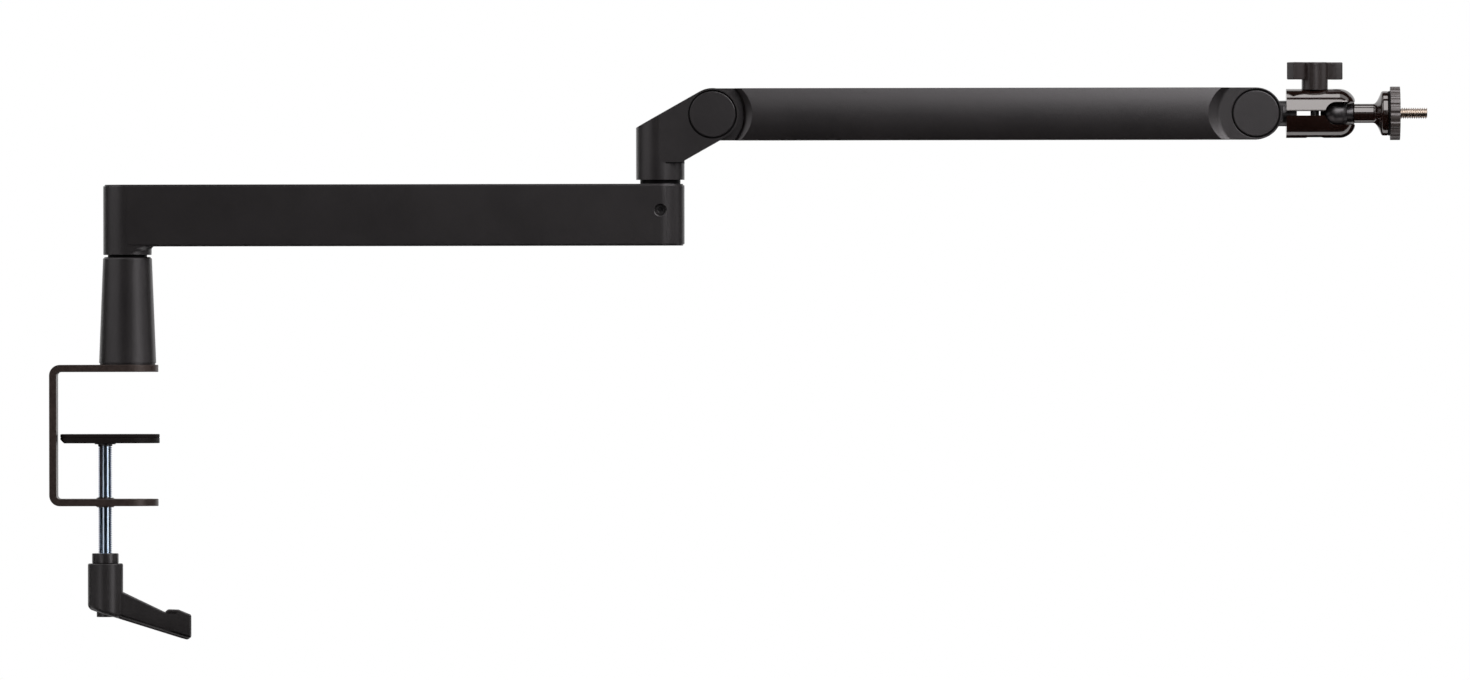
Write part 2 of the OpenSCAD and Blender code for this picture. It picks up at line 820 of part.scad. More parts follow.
// Steel spigot of the knuckle, grooved for the set screw
module elbow_spigot() {
  color([0.7, 0.7, 0.72]) translate([arm1_len, 0, 0]) difference() {
    bar(elbow_spigot_d / 2, spigot_z, spigot_top);
    ring(elbow_spigot_d / 2 + cut, elbow_spigot_d / 2 - groove_depth,
      set_screw_z - groove_h / 2, set_screw_z + groove_h / 2);
  }
}

// Side view of the knuckle above its round base
module knuckle_side() {
  s = sin(knuckle_slope);
  c = cos(knuckle_slope);
  t = tan(knuckle_slope);
  top_x = tilt_x - knuckle_r * s;
  top_z = tilt_z + knuckle_r * c;
  low_x = tilt_x + knuckle_r * s;
  low_z = tilt_z - knuckle_r * c;
  back = arm1_len - half_w;
  front = arm1_len + half_w;
  translate([tilt_x, tilt_z]) circle(knuckle_r);
  polygon([
    [back, flat_z], [back, top_z - (top_x - back) * t], [top_x, top_z], [low_x, low_z],
    [front, low_z - (low_x - front) * t], [front, flat_z]
  ]);
}

// Side view of what the tongue sweeps between its two tilt limits
module tongue_sweep() {
  d = tilt_down + 1;
  translate([tilt_x, tilt_z]) {
    circle(slot_r);
    polygon([
      [-slot_r, 0], [-slot_r, slot_far], [slot_far, slot_far], [slot_far, -slot_far],
      [slot_far * cos(d) - slot_r * sin(d), -slot_far * sin(d) - slot_r * cos(d)],
      [-slot_r * sin(d), -slot_r * cos(d)]
    ]);
  }
}

// Recesses for a cap and a bolt head in the face at half, on both sides
module pivot_pockets(half, floor_y, pocket_r) {
  for (s = [-1, 1]) scale([1, s, 1]) along_y() {
    bar(cap_d / 2 + cap_gap, half - cap_floor, half + far);
    bar(pocket_r, floor_y, half + far);
  }
}

// Forked elbow casting: swivels on the lower arm and carries the upper arm
module elbow_knuckle() {
  color([0.1, 0.1, 0.105]) difference() {
    union() {
      intersection() {
        slab(arm_w + 2 * cut) knuckle_side();
        translate([arm1_len, 0, 0]) linear_extrude(height = 2 * tilt_z) {
          circle(half_w);
          translate([0, -half_w]) square([far, arm_w]);
        }
      }
      translate([arm1_len, 0, 0]) bar(half_w, knuckle_z, flat_z);
    }
    slab(2 * cheek_in) tongue_sweep();
    translate([arm1_len, 0, 0]) bar(elbow_spigot_d / 2 + fit, knuckle_z - cut, spigot_top + gap);
    translate([tilt_x, 0, tilt_z]) {
      pivot_pockets(half_w, cheek_floor, head_pocket_r);
      along_y() {
        bar(tilt_bolt_d / 2 + fit, -half_w, 0);
        bar(tilt_bolt_d / 2 - thread_step + fit, 0, half_w);
      }
    }
  }
}

// Shoulder bolt that the upper arm tilts on
module tilt_bolt() {
  color([0.5, 0.5, 0.52]) translate([tilt_x, 0, tilt_z]) along_y() {
    bar(bolt_head_r, -cheek_floor - bolt_head_t, -cheek_floor);
    bar(tilt_bolt_d / 2, -cheek_floor - bite, cheek_in - bite);
    bar(tilt_bolt_d / 2 - thread_step, cheek_in - 2 * bite, cheek_floor + bolt_head_t);
  }
}

module tilt_nut() {
  color([0.5, 0.5, 0.52]) translate([tilt_x, 0, tilt_z]) along_y()
    ring(bolt_head_r, tilt_bolt_d / 2 - thread_step + fit, cheek_floor, cheek_floor + bolt_head_t);
}

module tilt_washers() {
  color([0.8, 0.78, 0.7]) translate([tilt_x, 0, tilt_z]) for (s = [-1, 1]) scale([1, s, 1])
    along_y() ring(tilt_washer_r, tilt_bolt_d / 2 + 2 * fit, tongue_w / 2, cheek_in);
}

// Push-in cap that covers a bolt head, on the face at half
module pivot_cap(x, half) {
  color([0.12, 0.12, 0.12]) translate([x, 0, tilt_z]) along_y() {
    bar(cap_d / 2, half - cap_t, half - cap_bevel);
    translate([0, 0, half - cap_bevel])
      cylinder(r1 = cap_d / 2, r2 = cap_d / 2 - cap_bevel, h = cap_bevel);
  }
}

module elbow_cap_front() {
  scale([1, -1, 1]) pivot_cap(tilt_x, half_w);
}

module elbow_cap_rear() {
  pivot_cap(tilt_x, half_w);
}

// Cross-section of the upper arm: flat top and bottom, crowned front and back
module arm2_section() {
  intersection() {
    translate([arm2_w / 2 - bulge_r, 0]) circle(bulge_r, $fn = 192);
    translate([bulge_r - arm2_w / 2, 0]) circle(bulge_r, $fn = 192);
    square([arm2_w + 2 * cut, arm2_h], center = true);
  }
}

// Upper arm beam with its tongue, its head fork and a cable channel underneath
module upper_arm_beam() {
  run = arm2_len - cover2_start - cover2_end;
  color([0.11, 0.11, 0.115]) translate([tilt_x, 0, tilt_z]) difference() {
    union() {
      difference() {
        intersection() {
          slab(arm2_w + 2 * cut) {
            circle(arm2_r);
            translate([arm2_len, 0]) circle(arm2_r);
            translate([0, -arm2_r]) square([arm2_len, arm2_h]);
          }
          translate([-arm2_h, 0, 0]) rotate([90, 0, 90]) linear_extrude(height = arm2_len + 2 * arm2_h)
            arm2_section();
        }
        translate([-scoop1_back, 0, 0]) {
          scoop(scoop1_wall_r, scoop1_rise, tongue_w / 2);
          scoop(scoop1_lip_r, scoop1_lip_rise, scoop1_lip_y);
        }
        translate([arm2_len, 0, 0]) scoop(scoop2_r, scoop2_rise, fork_w / 2);
        translate([arm2_len - head_slot_back, -fork_in, -far]) cube([far, fork_slot, 2 * far]);
        translate([cover2_start, -channel2_w / 2, -arm2_h]) cube([run, channel2_w, arm2_r + channel2_h]);
        translate([cover2_start - ledge, -cover2_w / 2, -arm2_h])
          cube([run + 2 * ledge, cover2_w, arm2_r + cover_t]);
      }
      magnet_row(cover2_start, run) translate([-pad_len / 2, channel2_w / 2 - pad_w, cover_t - arm2_r])
        cube([pad_len, pad_w + cut, channel2_h]);
    }
    along_y() bar(tilt_bush_r + fit, -arm2_w, arm2_w);
    magnet_row(cover2_start, run) translate([0, (channel2_w - pad_w) / 2, 0])
      bar(magnet_d / 2 + fit, cover_t - arm2_r - cut, cover_t - arm2_r + magnet_h + bite);
    translate([arm2_len, 0, 0]) {
      pivot_pockets(fork_w / 2, head_cheek_floor, head_bolt_head_r + 0.5);
      along_y() bar(head_bolt_d / 2 + fit, -arm2_w, arm2_w);
    }
  }
}

module tilt_bush() {
  color([0.85, 0.83, 0.76]) translate([tilt_x, 0, tilt_z]) along_y()
    ring(tilt_bush_r, tilt_bolt_d / 2 + fit, -tongue_w / 2, tongue_w / 2);
}

// One row of magnets in the upper arm, between two heights above the tilt axis
module upper_magnet_row(z0, z1) {
  run = arm2_len - cover2_start - cover2_end;
  color([0.7, 0.7, 0.7]) translate([tilt_x, (channel2_w - pad_w) / 2, tilt_z])
    magnet_row(cover2_start, run) bar(magnet_d / 2, z0, z1);
}

module upper_arm_magnets() {
  upper_magnet_row(cover_t - arm2_r + bite, cover_t - arm2_r + bite + magnet_h);
}

module upper_cover_magnets() {
  upper_magnet_row(cover_t - arm2_r - cover_magnet_h, cover_t - arm2_r);
}

// Cover of the upper cable channel
module upper_arm_cover() {
  run = arm2_len - cover2_start - cover2_end;
  long = run + 2 * ledge - 2 * cover_gap;
  x0 = cover2_start - ledge + cover_gap;
  wide = cover2_w - 2 * cover_gap;
  color([0.09, 0.09, 0.09]) translate([tilt_x, 0, tilt_z - arm2_r]) difference() {
    translate([x0, -wide / 2, 0]) cube([long, wide, cover_t]);
    for (x = [x0 - cut, x0 + long - notch_len])
      translate([x, -notch_w / 2, -cut]) cube([notch_len + cut, notch_w, cover_t + 2 * cut]);
    magnet_row(cover2_start, run) translate([0, (channel2_w - pad_w) / 2, 0])
      bar(magnet_d / 2 + fit, cover_t - cover_magnet_h, cover_t + cut);
  }
}

// Tongue of the head: eye between the cheeks, neck, and the stub that the jaws grip
module head_tongue() {
  color([0.09, 0.09, 0.095]) translate([head_x, 0, tilt_z]) difference() {
    union() {
      along_y() bar(eye_d / 2, -tongue2_w / 2, tongue2_w / 2);
      intersection() {
        along_x() bar(neck_d / 2, 0, neck_len);
        union() {
          translate([0, -tongue2_w / 2, -far]) cube([far, tongue2_w, 2 * far]);
          translate([arm2_r + 0.6, -far, -far]) cube([far, 2 * far, 2 * far]);
        }
      }
      along_x() {
        bar(stub_r, neck_len - bite, neck_len + stub_neck + bite);
        bar(stub_flange_r, neck_len + stub_neck, neck_len + stub_neck + stub_flange_t);
      }
    }
    along_y() bar(head_bolt_d / 2 + fit, -far, far);
  }
}

module head_bolt() {
  color([0.5, 0.5, 0.52]) translate([head_x, 0, tilt_z]) along_y() {
    bar(head_bolt_head_r, -head_cheek_floor - head_bolt_head_t, -head_cheek_floor);
    bar(head_bolt_d / 2, -head_cheek_floor - bite, head_cheek_floor + head_bolt_head_t);
  }
}

module head_nut() {
  color([0.5, 0.5, 0.52]) translate([head_x, 0, tilt_z]) along_y() ring(head_bolt_head_r,
    head_bolt_d / 2 + fit, head_cheek_floor, head_cheek_floor + head_bolt_head_t);
}

module head_washers() {
  color([0.8, 0.78, 0.7]) translate([head_x, 0, tilt_z]) for (s = [-1, 1]) scale([1, s, 1])
    along_y() ring(eye_d / 2 - 1, head_bolt_d / 2 + 2 * fit, tongue2_w / 2, fork_in);
}

module head_cap_front() {
  scale([1, -1, 1]) pivot_cap(head_x, fork_w / 2);
}

module head_cap_rear() {
  pivot_cap(head_x, fork_w / 2);
}

// Outer form of the two ball jaws, along +Z from their back face
module jaws_form() {
  r = jaws_d / 2;
  bar(r, 0, jaws_len - dome_r);
  translate([0, 0, jaws_len - dome_r]) rotate_extrude() {
    square([r - dome_r, dome_r]);
    intersection() {
      translate([r - dome_r, 0]) circle(dome_r);
      square([r, dome_r]);
    }
  }
}

// Both ball jaws before the slot parts them
module jaws_solid() {
  translate([jaws_x, 0, tilt_z]) difference() {
    along_x() jaws_form();
    along_x() {
      bar(stub_r + gap, -cut, stub_neck + cut);
      bar(stub_flange_r + gap, stub_neck - gap, stub_neck + stub_flange_t + gap);
      translate([0, 0, ball_off + mouth_in])
        cylinder(r1 = mouth_r, r2 = mouth_r + mouth_rise * jaws_len, h = jaws_len);
    }
    translate([ball_off, 0, 0]) sphere(cavity_r);
    translate([ball_off, 0, 0]) along_y() {
      bar(drop_notch / 2, -far, 0);
      translate([0, -drop_notch / 2, -far]) cube([far, drop_notch, far]);
    }
    translate([lock_off, 0, 0]) {
      bar(lock_d / 2 + fit, -far, far);
      bar(counterbore_r, -far, counterbore_h - jaws_d / 2);
      bar(knob_d / 2 + knob_room, seat_z, far);
    }
  }
}

module ball_jaw_upper() {
  color([0.06, 0.06, 0.065]) intersection() {
    jaws_solid();
    translate([jaws_x - cut, -far, tilt_z + jaws_gap / 2]) cube([far, 2 * far, far]);
  }
}

module ball_jaw_lower() {
  color([0.06, 0.06, 0.065]) intersection() {
    jaws_solid();
    translate([jaws_x - cut, -far, tilt_z - jaws_gap / 2 - far]) cube([far, 2 * far, far]);
  }
}

module lock_nut() {
  color([0.25, 0.25, 0.25]) translate([lock_x, 0, lock_nut_z]) difference() {
    cylinder(r = nut_r, h = nut_h, $fn = 6);
    bar(lock_d / 2 + fit, -cut, nut_h + cut);
  }
}

// Screw fixed in the wing knob
module lock_screw() {
  color([0.5, 0.5, 0.52]) translate([lock_x, 0, 0]) bar(lock_d / 2, lock_nut_z + cap_bevel, wing_z + lock_in);
}

// Wing knob with a round hub and two blades
module lock_knob() {
  color([0.09, 0.09, 0.09]) translate([lock_x, 0, 0]) difference() {
    union() {
      bar(knob_d / 2, knob_z, wing_z + wing_h);
      rotate([0, 0, wing_turn]) for (s = [-1, 1]) scale([s, s, 1]) {
        translate([0, -wing_t / 2, wing_z]) cube([(wing_span - wing_t) / 2, wing_t, wing_h]);
        translate([(wing_span - wing_t) / 2, 0, 0]) bar(wing_t / 2, wing_z, wing_z + wing_h);
      }
    }
    bar(lock_d / 2 + fit, knob_z - cut, wing_z + lock_in + bite);
  }
}

// Sprung seat that the ball turns in, open at the front and at the drop notch
module ball_seat() {
  color([0.15, 0.15, 0.15]) translate([ball_x, 0, tilt_z]) difference() {
    sphere(seat_r);
    sphere(ball_r + fit);
    translate([seat_reach, -far, -far]) cube([far, 2 * far, 2 * far]);
    along_y() {
      bar(drop_notch / 2 + gap, -far, 0);
      translate([0, -drop_notch / 2 - gap, -far]) cube([far, drop_notch + 2 * gap, far]);
    }
  }
}

// Polished ball with its neck and threaded tip
module ball() {
  color([0.05, 0.05, 0.05]) translate([ball_x, 0, tilt_z]) {
    sphere(ball_r);
    along_x() {
      bar(neck2_r, ball_r / 2, stem_x - ball_x);
      bar(ball_tip_r, stem_x - ball_x - bite, stem_x - ball_x + ball_tip_len);
    }
  }
}

// Stem, cone and flange that carry the stud
module stem() {
  color([0.06, 0.06, 0.065]) translate([0, 0, tilt_z]) along_x() difference() {
    union() {
      bar(stem_d / 2, stem_x, cone_x + bite);
      translate([0, 0, cone_x]) cylinder(r1 = stem_d / 2, r2 = flange_d / 2, h = cone_len);
      bar(flange_d / 2, flange_x, washer_x);
    }
    bar(ball_tip_r + fit, stem_x - cut, stem_x + ball_tip_len + gap);
    bar(stud_d / 2 + fit, washer_x - stud_root, washer_x + cut);
  }
}

// Threaded stud, relieved where the wheel's front face stands at rest
module thread_stud() {
  r = stud_d / 2;
  color([0.75, 0.73, 0.68]) translate([0, 0, tilt_z]) along_x() difference() {
    union() {
      bar(r, washer_x - stud_root + gap, stud_end - stud_tip);
      translate([0, 0, stud_end - stud_tip]) cylinder(r1 = r, r2 = r - stud_tip, h = stud_tip);
    }
    ring(r + cut, r - relief_depth, wheel_front - relief_w, wheel_front + gap);
  }
}

// Dark washer behind the wheel
module wheel_washer() {
  color([0.03, 0.03, 0.03]) translate([0, 0, tilt_z]) along_x()
    ring(flange_d / 2, stud_d / 2 + 2 * fit, washer_x, wheel_x);
}

// Fluted lock wheel on the stud
module lock_wheel() {
  r = wheel_d / 2;
  color([0.16, 0.155, 0.15]) translate([0, 0, tilt_z]) along_x() difference() {
    bar(r, wheel_x, wheel_front);
    bar(stud_d / 2 + fit, wheel_x - cut, wheel_front + cut);
    for (i = [0 : flutes - 1]) rotate([0, 0, i * 360 / flutes])
      translate([r + flute_out, 0, 0]) bar(flute_r, wheel_x - cut, wheel_front + cut);
  }
}

clamp_bracket();
post_screws();
post_core();
post_sleeve();
post_bush_lower();
post_bush_upper();
post_washer();
jaw_plate();
jaw_pad();
jaw_bush();
clamp_screw();
screw_clip();
lever_insert();
lever_retainer();
lever_spring();
lever_handle();
lower_arm_channel();
swivel_shaft();
shaft_bolt();
shaft_bolt_washer();
lower_arm_magnets();
lower_arm_cover();
lower_cover_magnets();
elbow_bush();
elbow_set_screw();
elbow_washer();
elbow_spigot();
elbow_knuckle();
tilt_bolt();
tilt_nut();
tilt_washers();
elbow_cap_front();
elbow_cap_rear();
upper_arm_beam();
tilt_bush();
upper_arm_magnets();
upper_arm_cover();
upper_cover_magnets();
head_tongue();
head_bolt();
head_nut();
head_washers();
head_cap_front();
head_cap_rear();
ball_jaw_upper();
ball_jaw_lower();
lock_nut();
lock_knob();
lock_screw();
ball_seat();
ball();
stem();
thread_stud();
wheel_washer();
lock_wheel();
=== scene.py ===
import json
from math import asin, ceil, cos, hypot, pi, radians, sin

import bmesh
import bpy
from mathutils import Matrix, Vector


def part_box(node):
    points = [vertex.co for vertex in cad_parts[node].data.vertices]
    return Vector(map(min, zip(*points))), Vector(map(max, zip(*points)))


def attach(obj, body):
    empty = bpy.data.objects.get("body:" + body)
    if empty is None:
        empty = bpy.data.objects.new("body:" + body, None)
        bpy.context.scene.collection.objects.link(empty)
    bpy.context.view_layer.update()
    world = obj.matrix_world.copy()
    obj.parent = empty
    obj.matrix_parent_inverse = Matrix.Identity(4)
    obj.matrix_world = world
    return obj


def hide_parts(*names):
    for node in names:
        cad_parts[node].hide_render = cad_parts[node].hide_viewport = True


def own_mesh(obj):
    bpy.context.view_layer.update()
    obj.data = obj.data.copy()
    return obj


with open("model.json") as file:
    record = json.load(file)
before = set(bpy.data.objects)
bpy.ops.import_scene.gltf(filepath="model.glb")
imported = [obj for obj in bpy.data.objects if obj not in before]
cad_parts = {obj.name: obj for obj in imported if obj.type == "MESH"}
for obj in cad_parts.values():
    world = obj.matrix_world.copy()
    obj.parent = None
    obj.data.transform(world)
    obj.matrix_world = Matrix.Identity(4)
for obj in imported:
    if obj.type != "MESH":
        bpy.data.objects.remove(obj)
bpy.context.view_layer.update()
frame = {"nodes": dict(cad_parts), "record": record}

NODES = frame["nodes"]
SLOT = {s["node"]: s["material_slot"] for s in frame["record"]["subparts"]}
BODY = {n: b for b, members in frame["record"]["behaviour"]["bodies"].items() for n in members}
MM = 0.001

# places on the object, in millimetres
SCREW_X = -12.9
ELBOW_X = 303.8
TILT_X, TILT_Z = 333.6, 146.2
HEAD_X = 643.2
LOCK_X = 676.9
BALL_X = 688.9

scene = bpy.context.scene
scene.view_settings.view_transform = "Standard"

# ---- camera: level with the arms, far away with a long lens, leaning by a tenth of a degree as in the photograph
PHOTO_WIDTH_M = 0.8379
CAMERA_AWAY = 12.0
CAMERA_X, CAMERA_Z, CAMERA_LEAN = 0.3462, 0.01762, 0.0017
SENSOR = 36
camera_data = bpy.data.cameras.new("camera")
camera_data.sensor_width = SENSOR
camera_data.lens = SENSOR * CAMERA_AWAY / PHOTO_WIDTH_M
camera_data.clip_end = 60
camera = bpy.data.objects.new("camera", camera_data)
camera.location = (CAMERA_X, -CAMERA_AWAY, CAMERA_Z)
camera.rotation_euler = (pi / 2, CAMERA_LEAN, 0)
scene.collection.objects.link(camera)
scene.camera = camera


# ---- finishes
def paint(code):
    """An sRGB hex colour as linear RGBA."""
    parts = [int(code[i:i + 2], 16) / 255 for i in (1, 3, 5)]
    return tuple(p / 12.92 if p <= 0.04045 else ((p + 0.055) / 1.055) ** 2.4 for p in parts) + (1,)


def add(tree, kind, settings=(), **sockets):
    """Adds a node, sets its properties, and fills or links its inputs by socket name, or by number as _0, _1."""
    made = tree.nodes.new("ShaderNode" + kind)
    for key, value in dict(settings).items():
        setattr(made, key, value)
    for key, value in sockets.items():
        socket = made.inputs[int(key[1:]) if key[0] == "_" else key.replace("_", " ")]
        if isinstance(value, bpy.types.NodeSocket):
            tree.links.new(value, socket)
        else:
            socket.default_value = value
    return made


def new_tree(name):
    material = bpy.data.materials.new(name)
    material.use_nodes = True
    material.node_tree.nodes.clear()
    return material, material.node_tree


# most of a noise lies between these two values
NOISE_LOW, NOISE_HIGH = 0.35, 0.65
# share of the slow unevenness in a finish
SLOW_SHARE = 0.3
# the faint magenta of a finish's reflections, unless it has its own tint
SHINE_TINT = (1, 0.955, 0.985, 1)


def surface(name, dark, light, rough, grain, bump, patch=30.0, **shader):
    """A finish with a grain `grain` mm wide that moves its colour, gloss and relief.

    dark and light are its two tones, rough its lowest and highest roughness, bump the relief in mm, and patch the
    size in mm of slow unevenness over the piece.
    """
    material, tree = new_tree(name)
    place = add(tree, "TexCoord").outputs["Object"]
    fine = add(tree, "TexNoise", Vector=place, Scale=1 / (grain * MM), Detail=2.0, Roughness=0.55).outputs["Fac"]
    slow = add(tree, "TexNoise", Vector=place, Scale=1 / (patch * MM), Detail=2.0).outputs["Fac"]
    both = add(tree, "Mix", {"data_type": "FLOAT"}, Factor=SLOW_SHARE, _2=fine, _3=slow).outputs[0]
    tone = add(tree, "MapRange", Value=both, From_Min=NOISE_LOW, From_Max=NOISE_HIGH).outputs[0]
    colour = add(tree, "Mix", {"data_type": "RGBA"}, Factor=tone, _6=paint(dark), _7=paint(light)).outputs[2]
    gloss = add(tree, "MapRange", Value=both, From_Min=NOISE_LOW, From_Max=NOISE_HIGH, To_Min=rough[0],
                To_Max=rough[1]).outputs[0]
    relief = add(tree, "Bump", Height=fine, Strength=1.0, Distance=bump * MM).outputs["Normal"]
    shader.setdefault("Specular_Tint", SHINE_TINT)
    bsdf = add(tree, "BsdfPrincipled", Base_Color=colour, Roughness=gloss, Normal=relief, **shader)
    add(tree, "OutputMaterial", Surface=bsdf.outputs[0])
    return material


FINISH = {
    # fine black coat on cast and drawn aluminium: deep, slightly warm, satin; its grain is 0.2 mm, drawn 0.6 mm
    "black_aluminium": surface("satin black coat", "#110e0f", "#1b1717", (0.35, 0.43), 0.6, 0.03, IOR=1.8),
    # thin black paint on strip steel, a shade browner than the castings
    "black_steel": surface("warm black paint on steel", "#221815", "#2d211d", (0.38, 0.46), 1.4, 0.003, IOR=1.7,
                           Specular_Tint=(1, 0.86, 0.82, 1)),
    # phosphated and oiled steel of the moving jaw: dull and dark
    "dull_black_steel": surface("dull black phosphated steel", "#0f0a08", "#17100e", (0.5, 0.6), 1.0, 0.004,
                                Specular_IOR_Level=0.2),
    # black anodised turned discs: fine satin, with the same grain as the coat round them
    "black_cap": surface("satin anodised cap", "#120f10", "#1b1718", (0.35, 0.43), 0.6, 0.03, IOR=1.8),
    # polished black anodising: a deep mirror with a warm black body
    "gloss_black_aluminium": surface("polished black anodising", "#140a08", "#1a0e0b", (0.09, 0.13), 1.6, 0.0004,
                                     IOR=2.1, Specular_Tint=(1, 0.95, 0.94, 1)),
    # the ball is polished less than its stem, for grip
    "satin_ball": surface("satin anodised ball", "#0e0b0c", "#141011", (0.34, 0.4), 0.6, 0.002, IOR=2.0),
    # blasted grey-black anodising on the wheel
    "wheel_aluminium": surface("blasted grey anodising", "#302926", "#3b332f", (0.36, 0.44), 0.5, 0.008, IOR=1.9),
    # raw cast aluminium inside the post: pale, dull
    "bare_aluminium": surface("raw aluminium", "#b4b5b8", "#c6c7c9", (0.35, 0.45), 0.8, 0.01, Metallic=1.0),
    # blue-passivated zinc plating: bright steel with a cold tint
    "zinc_plated_steel": surface("blue zinc plating", "#c3d6ea", "#e6f0fb", (0.11, 0.17), 0.6, 0.002, Metallic=1.0),
    # turned stainless steel, slightly warm
    "stainless_steel": surface("turned stainless steel", "#b9aca0", "#d0c4b8", (0.26, 0.34), 0.6, 0.003,
                               Metallic=1.0),
    # plain machined steel of the hidden bolts
    "steel": surface("machined steel", "#8f8f90", "#a4a4a5", (0.28, 0.4), 0.5, 0.005, Metallic=1.0),
    # oiled black oxide on turned steel: dark metal with a soft shine
    "black_oxide_steel": surface("black oxide steel", "#151313", "#201d1d", (0.3, 0.4), 0.5, 0.005, IOR=1.8),
    # black epoxy coat on zinc casting: fine leathery grain, 0.3 mm, drawn 0.6 mm
    "black_zinc": surface("epoxy coated zinc casting", "#181616", "#242121", (0.36, 0.44), 0.6, 0.022, IOR=1.65),
    # nickel on magnets: smooth and bright
    "magnet_nickel": surface("nickel plating", "#b3afa6", "#c4c0b8", (0.15, 0.22), 1.0, 0.001, Metallic=1.0),
    # acetal bushes: ivory, waxy
    "bush_plastic": surface("acetal bush", "#d6d2c4", "#e2decf", (0.38, 0.48), 1.0, 0.004),
    # hard black nylon washers, darkened past the nylon's own black to paint the shade of the narrow gaps they sit in;
    # the painted shade rings under the elbow's flats and round the pivot caps take it too
    "black_washer": surface("black nylon washer and painted gap shade", "#050404", "#080707", (0.5, 0.6), 0.6, 0.004,
                            Specular_IOR_Level=0.15),
    # moulded cable covers: matte texture
    "cover_plastic": surface("moulded cover plastic", "#121010", "#191616", (0.5, 0.62), 0.6, 0.01),
    # glass-filled nylon knob: semi-gloss with faint flow marks
    "knob_plastic": surface("moulded knob nylon", "#191311", "#221a18", (0.28, 0.36), 1.2, 0.003, IOR=1.75),
    # moulded rubber pad: dull, slightly brown
    "rubber": surface("moulded rubber", "#120c0a", "#191210", (0.6, 0.75), 0.5, 0.008, Specular_IOR_Level=0.15),
}
# pieces whose look differs from their slot's
LOOK = {"ball": "satin_ball", "ball_seat": "black_washer", "jaw_plate": "dull_black_steel"}
for node, obj in NODES.items():
    obj.data.materials.clear()
    obj.data.materials.append(FINISH[LOOK.get(node, SLOT[node])])

# ---- tools for pieces
WELD = 0.0005


def finish_piece(name, bm, *stands_for, body=None, slot=None, sharp=32):
    """Turns a mesh in millimetres into a piece that rides on a body and replaces the CAD nodes it stands for."""
    for face in bm.faces:
        face.smooth = True
    bmesh.ops.scale(bm, vec=(MM, MM, MM), verts=bm.verts)
    mesh = bpy.data.meshes.new(name)
    bm.to_mesh(mesh)
    bm.free()
    mesh.set_sharp_from_angle(angle=radians(sharp))
    obj = bpy.data.objects.new(name, mesh)
    scene.collection.objects.link(obj)
    slot = slot or SLOT[stands_for[0]]
    look = LOOK.get(stands_for[0], slot) if stands_for else slot
    mesh.materials.append(FINISH[look])
    weighted = obj.modifiers.new("even shading", "WEIGHTED_NORMAL")
    weighted.keep_sharp = True
    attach(obj, body or BODY[stands_for[0]])
    if stands_for:
        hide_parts(*stands_for)
    return obj


def cad_copy(node):
    """The CAD node's mesh in millimetres, with its triangles merged into whole faces."""
    bm = bmesh.new()
    bm.from_mesh(NODES[node].data)
    bmesh.ops.scale(bm, vec=(1 / MM,) * 3, verts=bm.verts)
    bmesh.ops.remove_doubles(bm, verts=bm.verts, dist=0.002)
    bmesh.ops.dissolve_limit(bm, angle_limit=radians(0.2), verts=bm.verts, edges=bm.edges, delimit={"NORMAL"})
    return bm


def round_edges(bm, radius, segments=2, angle=28, where=None, clamp=True):
    """Rounds the edges that turn by more than the angle, or those of them for which where(edge) is true."""
    edges = [e for e in bm.edges if e.is_manifold and e.calc_face_angle() > radians(angle)
             and (where is None or where(e))]
    bmesh.ops.bevel(bm, geom=edges, offset=radius, offset_type="OFFSET", segments=segments, profile=0.5,
                    affect="EDGES", clamp_overlap=clamp, material=-1)


def cut(bm, point, normal, drop=False):
    """Cuts a mesh along a plane and gives the new edges; drop removes what lies on the normal's side."""
    made = bmesh.ops.bisect_plane(bm, geom=bm.verts[:] + bm.edges[:] + bm.faces[:], dist=WELD,
                                  plane_co=point, plane_no=normal, clear_outer=drop)["geom_cut"]
    return [e for e in made if isinstance(e, bmesh.types.BMEdge)]


def move(bm, x=0, y=0, z=0, turn=0, axis="Y"):
    """Turns a mesh by degrees round an axis through the origin, then moves it."""
    bmesh.ops.transform(bm, matrix=Matrix.Translation((x, y, z)) @ Matrix.Rotation(radians(turn), 4, axis),
                        verts=bm.verts)
    return bm


def turned(outline, steps=96, closed=False, arc=360):
    """Turns an outline of (radius, height) round the Z axis.

    closed joins its last point to its first; an arc of less than 360 degrees is centred on +X, with closed ends.
    """
    bm = bmesh.new()
    verts = [bm.verts.new((r, 0, z)) for r, z in outline]
    pairs = list(zip(verts, verts[1:])) + ([(verts[-1], verts[0])] if closed else [])
    edges = [bm.edges.new(pair) for pair in pairs]
    bmesh.ops.spin(bm, geom=verts + edges, axis=(0, 0, 1), cent=(0, 0, 0), angle=radians(arc), steps=steps,
                   use_merge=arc == 360)
    if arc < 360:
        bmesh.ops.holes_fill(bm, edges=bm.edges, sides=0)
        move(bm, turn=-arc / 2, axis="Z")
    bmesh.ops.remove_doubles(bm, verts=bm.verts, dist=WELD)
    bmesh.ops.recalc_face_normals(bm, faces=bm.faces)
    return bm


